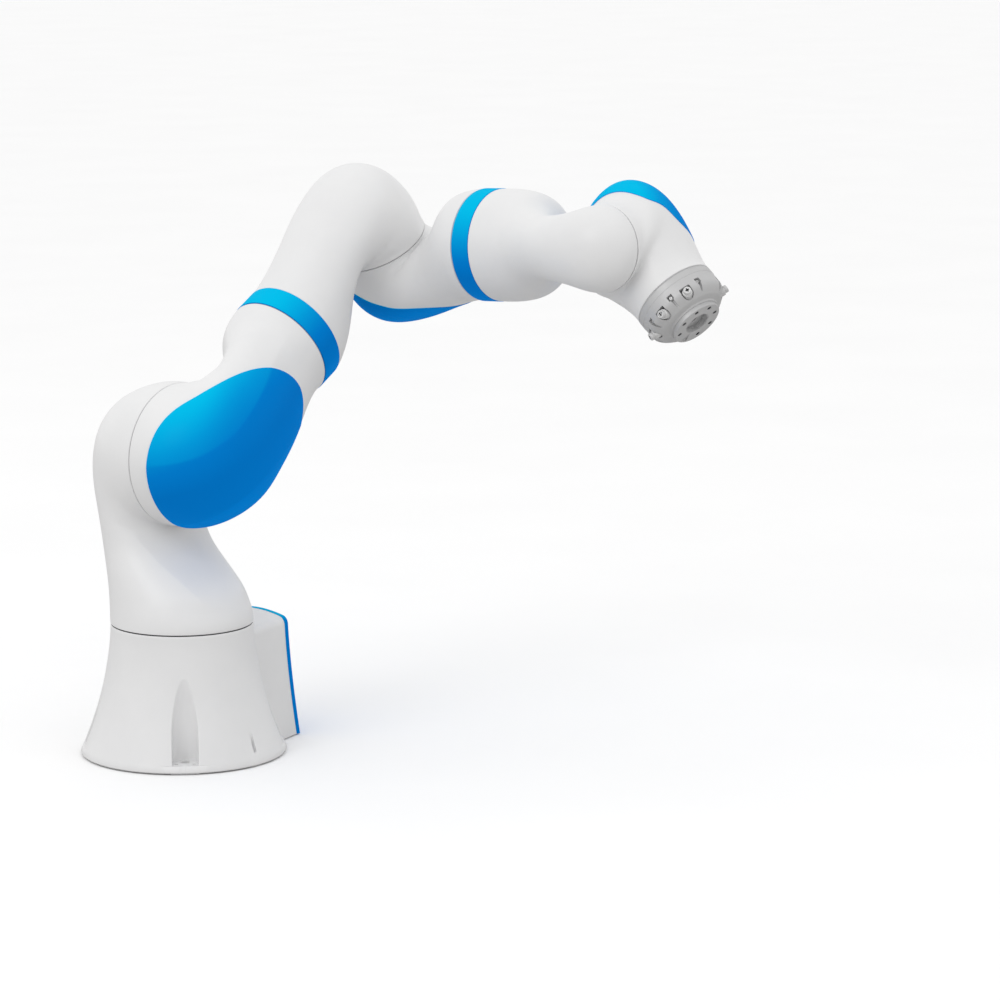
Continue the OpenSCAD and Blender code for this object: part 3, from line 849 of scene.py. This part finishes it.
def round_hole(name, x, y, radius, low, high, steps=32):
    """A cutter for an upright round hole."""
    return cutter(name, *prism(circle(radius, steps, x, y), low, high))


HOLE_TOP = 30
DIMPLE_OUT = 111  # a small hole stands on each side of a pocket, this far from the axis
DIMPLE_ASIDE = 10.5
DIMPLE_R = 2.2
SLOT_IN = 109.5  # the upright slots between the pockets reach in to here
SLOT_OUT = 135
SLOT_LOW = 15
SLOT_HIGH = 38
SLOT_HALF_W = 2.5


def base_cutters():
    """The holes at the foot of the pockets and the upright slots between the pockets."""
    cutters = []
    for k in range(4):
        a = math.radians(45 + 90 * k)
        c, s = math.cos(a), math.sin(a)
        cutters.append(round_hole("bolt_hole", BOLT_CIRCLE_R * c, BOLT_CIRCLE_R * s, BOLT_R, 0, HOLE_TOP))
        for aside in (-DIMPLE_ASIDE, DIMPLE_ASIDE):
            x, y = DIMPLE_OUT * c - aside * s, DIMPLE_OUT * s + aside * c
            cutters.append(round_hole("dimple", x, y, DIMPLE_R, FOOT_H + 1, HOLE_TOP, 20))
    w = SLOT_HALF_W
    outline = rounded([(-w, SLOT_LOW), (w, SLOT_LOW), (w, SLOT_HIGH), (-w, SLOT_HIGH)], [1.5] * 4)
    for side in (-1, 1):
        p, f = prism(outline, SLOT_IN, SLOT_OUT)
        cutters.append(cutter("slot", p[:, [0, 2, 1]] * [1, side, 1], f))
    return cutters


points, faces = base_shell()
base = add_mesh("base_shell", points, faces, "base", ["base_housing"], "white_shell", WHITE)
cut_away(base, base_cutters(), 50)

# ---- Connector box ----
BOX_FROM_X = 50  # the box starts here, inside the base
PANEL_FOOT_X = 149.5  # outside of the panel at its foot
PANEL_LEAN = 15  # how far in the panel stands at its top
PANEL_T = 6
BOX_HALF_W = (66, 60)  # at its foot and top, inside the base
BOX_NARROWS = (14, 13)  # how much less that is at the panel
BOX_CROWN = 153
BOX_SHOULDER = 147  # height of the top's edge, where the corner starts
BOX_CORNER_R = 9


def panel_lean(z):
    """How far in the panel stands at a height: it bends in much as the base does."""
    return PANEL_LEAN * (1 - np.clip(1 - z / BOX_SHOULDER, 0, 1) ** 1.6)


def box_outline(half_foot, half_top, grow=0.0):
    """The box across x: straight sides, rounded corners and an arched top, as (y, z)."""
    half_foot, half_top = half_foot + grow, half_top + grow
    foot, crown = FOOT_H, BOX_CROWN + grow
    side = half_top + (half_foot - half_top) * 0.02
    corner = round_corner((half_foot, foot), (side, BOX_SHOULDER + grow), (0, crown + 3.5), BOX_CORNER_R, 10)
    t = np.linspace(0, 1, 15)[1:, None]
    start = corner[-1]
    arch_top = (1 - t) ** 2 * start + 2 * t * (1 - t) * np.array([start[0] * 0.45, crown]) + t**2 * [0, crown]
    up = np.column_stack([np.linspace(half_foot, corner[0][0], 12), np.linspace(foot, corner[0][1], 12)])[:-1]
    right = np.concatenate([up, corner, arch_top])
    return np.concatenate([right, (right * [-1, 1])[::-1][1:]])


def box_section(reach, half_foot, half_top, grow=0.0, back=0.0):
    """One section of the box; reach runs from 0 at BOX_FROM_X to 1 at the panel's outside."""
    outline = box_outline(half_foot, half_top, grow)
    x = BOX_FROM_X + reach * (PANEL_FOOT_X - back - panel_lean(outline[:, 1]) - BOX_FROM_X)
    return np.column_stack([x, outline])


def loft(sections):
    """A solid through sections that mirror across y, with its ends closed by strips across."""
    n = len(sections[0])
    half = n // 2
    faces = grid(len(sections), n)
    strips = [[i, i + 1, n - 2 - i, n - 1 - i] for i in range(half - 1)]
    strips.append([half - 1, half, half + 1])
    last = (len(sections) - 1) * n
    faces += [strip[::-1] for strip in strips]
    faces += [[last + i for i in strip] for strip in strips]
    return np.concatenate(sections), faces


def box_half(reach):
    """Half widths of the box at its foot and top: it narrows towards the panel."""
    return [wide - less * reach**1.6 for wide, less in zip(BOX_HALF_W, BOX_NARROWS)]


def connector_box():
    """The white box behind the base, cut clear of the room inside the base."""
    sections = [box_section(r, *box_half(r), back=PANEL_T) for r in np.linspace(0, 0.985, 22)]
    sections.append(box_section(1.0, *box_half(1.0), grow=-0.4, back=PANEL_T))
    points, faces = loft(sections)
    o = add_mesh("socket_box", points, faces, "base", ["connector_box"], "white_shell", WHITE)
    room = round_hole("room_in_base", 0, 0, SHOULDER_R - WALL, -1, BOX_CROWN + 10, 96)
    cut_away(o, [room], 40)


SOCKET_AT = ((-26, 34, 13), (26, 34, 13), (-22, 88, 9), (22, 88, 9))  # y, z, radius


def connector_panel():
    """The blue end panel, a little proud of the box, with a hole for each socket."""
    sections = []
    for back, grow in ((PANEL_T, -0.2), (PANEL_T - 0.5, 0.5), (1.4, 0.5), (0.4, 0.1), (0.0, -0.9)):
        sections.append(box_section(1.0, *box_half(1.0), grow=grow, back=back))
    points, faces = loft(sections)
    o = add_mesh("end_panel", points, faces, "base", ["connector_panel"], "blue_cover", BLUE)
    cutters = []
    for y, z, radius in SOCKET_AT:
        p, f = prism(circle(radius, 40, y, z), PANEL_FOOT_X - 30, PANEL_FOOT_X + 20)
        cutters.append(cutter("socket_hole", p[:, [2, 0, 1]], f))
    cut_away(o, cutters, 60)


connector_box()
connector_panel()

# ---- Tool flange ----
PLACES = 8  # clocked places round the flange
FITTING_PLACES = (1, 2, 3, 7)  # the ones that hold a fitting
FACE_Z = TOOL_FACE - WRIST_SEAM
PLACE_ANGLE = 2 * math.pi / PLACES
FITTING_SEAT = WRIST_R - 5
FITTING_Z = 27
FITTING_POCKET_R = 7.2
SCREW_Z = 20
HOLES = 8  # threaded holes in the disc
HOLE_CIRCLE_R = 25
HOLE_R = 2.6
HOLE_RIM_R = 3.3
AXIS_R = 0.01  # as good as on the axis


def at_flange(points):
    """Turns points measured from the flange's seam into the part's frame."""
    return LINK_FRAMES[6](np.asarray(points, float) + [0, 0, WRIST_SEAM])


def out_from_axis(angle, out, z):
    """Turns points whose z runs outwards from the flange's axis into the flange's frame."""
    c, s = math.cos(angle), math.sin(angle)

    def place(points):
        x, y, h = np.asarray(points, float).T
        radius = out + h
        return np.column_stack([radius * c - y * s, radius * s + y * c, z - x])

    return place


def arch(half, back, front):
    """A pocket outline: square towards the seam (-x is towards the tool face) and round ahead."""
    a = np.linspace(math.pi / 2, 3 * math.pi / 2, 17)
    round_end = np.column_stack([front + half * np.cos(a), half * np.sin(a)])
    outline = np.concatenate([[[back, -half], [back, half]], round_end])
    return rounded(outline, [1.2, 1.2] + [0] * len(round_end))


def groove():
    """A scooped groove that narrows from a small pocket to the chamfer."""
    steps = 24
    loop = circle(1, steps)
    wide = np.column_stack([np.full(steps, 3.0), loop * [3.6, 6.4]])
    thin = np.column_stack([np.full(steps, -14.0), loop * [0.9, 1.3] + [0, -6.6]])
    return np.concatenate([wide, thin]), grid(2, steps) + caps(steps)


def flange_profile():
    """The flange from its seam, over the turned line and the chamfer to the disc, and back inside."""
    side = [(WRIST_R - 6, HALF_GAP), (WRIST_R - 0.5, HALF_GAP), (WRIST_R, HALF_GAP + 0.5)]
    side += [(WRIST_R, 8.6), (WRIST_R - 0.35, 9.1), (WRIST_R - 0.4, 22)]
    corner = np.array([[WRIST_R - 0.45, 23], [WRIST_R - 1.3, 28.5], [WRIST_R - 7, 32.2], [DISC_R + 9, 35.6]])
    t = np.linspace(0, 1, 16)[1:, None]
    chamfer = (1 - t) ** 3 * corner[0] + 3 * t * (1 - t) ** 2 * corner[1]
    chamfer += 3 * t**2 * (1 - t) * corner[2] + t**3 * corner[3]
    fillet = round_corner((DISC_R + 9, 35.6), (DISC_R + 1.5, 37.2), (DISC_R + 1.2, 39.5), 2.0, 6)
    inside = [(DISC_R + 0.15, 39.6), (DISC_R + 0.15, 26), (38, 17), (WRIST_R - 6, 12)]
    return np.concatenate([side, corner[:1], chamfer, fillet, inside])


def flange_piece(name, points, faces, node, slot, material):
    """A piece on the tool flange, from points measured from the flange's seam."""
    return add_mesh(name, points, faces, "tool_flange", [node], slot, material, at_flange)


def flange_body():
    """The grey body with its large pockets, and its small ones with their grooves."""
    points, faces = lathe(flange_profile(), 192)
    o = flange_piece("flange_housing", points, faces, "flange_body", "grey_flange", GREY)
    cutters = []
    for i in FITTING_PLACES:
        p, f = prism(arch(FITTING_POCKET_R, FITTING_POCKET_R, 0), 0, 19)
        p = out_from_axis(i * PLACE_ANGLE, FITTING_SEAT - 5, FITTING_Z)(p)
        cutters.append(cutter("pocket", at_flange(p), f))
    for i in range(PLACES):
        place = out_from_axis((i + 0.5) * PLACE_ANGLE, WRIST_R, SCREW_Z)
        p, f = prism(rounded([(-3.4, -3.6), (3.4, -3.6), (3.4, 3.6), (-3.4, 3.6)], [0.8] * 4), -7.5, 8)
        cutters.append(cutter("screw_pocket", at_flange(place(p)), f))
        p, f = groove()
        cutters.append(cutter("groove", at_flange(place(p)), f))
    cut_away(o, cutters, 32)
    soften(o, 0.35)


def flange_disc():
    """The raised disc with its bolt holes, centring bore and the turned steps inside it."""
    rim = [(DISC_R - 2, 20), (DISC_R, 24), (DISC_R, FACE_Z - 0.6), (DISC_R - 0.6, FACE_Z)]
    bore = [(BORE_R + 0.5, FACE_Z), (BORE_R, FACE_Z - 0.5)]
    z = FACE_Z - 0.9
    while z > FACE_Z - 7.2:
        bore += [(BORE_R, z), (BORE_R - 0.45, z - 0.3), (BORE_R, z - 0.6)]
        z -= 0.9
    bore += [(BORE_R, FACE_Z - 8), (BORE_R - 1.5, FACE_Z - 8.2)]
    floor = [(6.4, FACE_Z - 8.2), (6, FACE_Z - 8.6), (6, 20)]
    points, faces = lathe(rim + bore + floor, 160)
    o = flange_piece("flange_face", points, faces, "flange_disc", "grey_flange", GREY)
    cutters = []
    for i in range(HOLES):
        a = i * 2 * math.pi / HOLES
        centre = [HOLE_CIRCLE_R * math.cos(a), HOLE_CIRCLE_R * math.sin(a), 0]
        sink = [(AXIS_R, FACE_Z - 0.7), (HOLE_R, FACE_Z - 0.7), (HOLE_RIM_R, FACE_Z)]
        sink += [(HOLE_RIM_R, FACE_Z + 2), (AXIS_R, FACE_Z + 2)]
        p, f = lathe(sink, 32)
        cutters.append(cutter("hole_rim", at_flange(p + centre), f))
        hole = [(AXIS_R, FACE_Z - 13), (HOLE_R, FACE_Z - 11.5)]
        hole += [(HOLE_R, FACE_Z - 0.5), (AXIS_R, FACE_Z - 0.5)]
        p, f = lathe(hole, 32)
        # The hole's walls take the dark seal material: painted shade down the hole.
        cutters.append(cutter("hole", at_flange(p + centre), f, DARK_SEAL_AND_PAINTED_SHADE))
    cut_away(o, cutters, 32)


def fitting(i):
    """A stepped media fitting: a seat, a collar and a pin with a cross recess in its end."""
    seat = [(AXIS_R, -6), (5.9, -6), (5.9, 2.9), (5.5, 3.3)]
    neck = [(4.6, 3.4), (4.3, 3.7), (4.3, 4.6), (4.6, 5.0)]
    pin = [(4.6, 8.0), (4.1, 8.5), (AXIS_R, 8.5)]
    points, faces = lathe(seat + neck + pin, 48, closed=False)
    place = out_from_axis(i * PLACE_ANGLE, FITTING_SEAT, FITTING_Z)
    o = flange_piece(f"fitting_{i}", place(points), faces, "flange_fittings", "bare_steel", FITTING)
    cutters = []
    for w, h in ((2.4, 0.85), (0.85, 2.4)):
        p, f = prism([(-w, -h), (w, -h), (w, h), (-w, h)], 5.5, 12)
        # The cross recess's walls take the dark seal material: painted shade in the recess.
        cutters.append(cutter("cross", at_flange(place(p)), f, DARK_SEAL_AND_PAINTED_SHADE))
    cut_away(o, cutters, 32)


def flange_screw(i):
    """A socket screw at the foot of a small pocket."""
    head = [(AXIS_R, -4), (2.1, -4), (2.1, 1.6), (1.8, 2.0)]
    socket = [(1.1, 2.0), (1.0, 0.8), (AXIS_R, 0.6)]
    points, faces = lathe(head + socket, 32, closed=False)
    place = out_from_axis((i + 0.5) * PLACE_ANGLE, WRIST_R - 4.5, SCREW_Z)
    flange_piece(f"flange_screw_{i}", place(points), faces, "flange_screws", "bare_steel", FITTING)


flange_body()
flange_disc()
for i in FITTING_PLACES:
    fitting(i)
for i in range(PLACES):
    flange_screw(i)

# ---- Camera, as solved from the photograph ----
EYE = (-3.2162, -3.1423, 1.1153)  # metres
VIEW_AZIMUTH = math.radians(39.501859)
VIEW_PITCH = math.radians(10.258)  # how far it looks down
LENS = 138.34  # for a sensor 36 mm wide

camera = bpy.data.cameras.new("camera")
camera.lens = LENS
camera.sensor_width = 36
camera.clip_end = 50
eye = new_object("camera", camera)
eye.location = EYE
eye.rotation_euler = (math.pi / 2 - VIEW_PITCH, 0, VIEW_AZIMUTH - math.pi / 2)
bpy.context.scene.camera = eye


# ---- Floor and light, in metres ----
def pale_floor():
    """A floor that the camera sees nearly white, and that throws a duller tone back at the arm."""
    m, shader, add, link = new_material("floor_paper")
    where = add("ShaderNodeTexCoord").outputs["Object"]
    cloud = noise(add, link, where, 3.0, 4.0, 0.5)
    seen = ramp(add, link, cloud, [(0.3, grey(0.98)), (0.7, grey(0.995))])
    bounced = add("ShaderNodeRGB")
    bounced.outputs[0].default_value = (0.545, 0.54, 0.535, 1)
    choice = add("ShaderNodeMix", data_type="RGBA")
    link(add("ShaderNodeLightPath").outputs["Is Camera Ray"], choice.inputs["Factor"])
    link(bounced.outputs[0], choice.inputs["A"])
    link(seen, choice.inputs["B"])
    link(choice.outputs["Result"], shader.inputs["Base Color"])
    shader.inputs["Roughness"].default_value = 0.9
    shader.inputs["Specular IOR Level"].default_value = 0.1
    size, steps, below = 30.0, 5, -0.0005
    line = np.linspace(-size, size, steps)
    mesh = bpy.data.meshes.new("floor")
    mesh.from_pydata([(x, y, below) for x in line for y in line], [], grid(steps, steps, wrap=False))
    mesh.materials.append(m)
    o = new_object("floor", mesh)


def soft_light(name, place, target, size, power):
    """A round soft light that faces its target."""
    light = bpy.data.lights.new(name, "AREA")
    light.shape = "DISK"
    light.size = size
    light.energy = power
    o = new_object(name, light)
    o.location = place
    o.rotation_euler = (Vector(target) - Vector(place)).to_track_quat("-Z", "Y").to_euler()


pale_floor()
soft_light("key_light", (-2.8, -0.2, 2.6), (0.1, -0.1, 0.35), size=2.0, power=20)

world = bpy.data.worlds.new("studio")
bpy.context.scene.world = world
world.use_nodes = True
sky = world.node_tree.nodes["Background"]
sky.inputs["Color"].default_value = (1, 1, 1, 1)
sky.inputs["Strength"].default_value = 0.97
bpy.context.scene.view_settings.view_transform = "Standard"

# ---- Materials of the CAD nodes that stay ----
NODE_MATERIALS = {
    "motor": CAN,
    "gear": STEEL,
    "bearing": STEEL,
    "seal": DARK_SEAL_AND_PAINTED_SHADE,
    "hub": STEEL,
    "board": BOARD,
    "feet": WHITE,
    "sockets": STEEL,
}
PALE_SEALS = [f"joint_{number}_seal" for number in range(2, 8)]  # only the base's seam looks dark
for name, o in frame["nodes"].items():
    material = PALE_SEAL if name in PALE_SEALS else NODE_MATERIALS.get(name.rsplit("_", 1)[1])
    if material and not o.hide_render:
        for s in o.material_slots:
            s.material = material
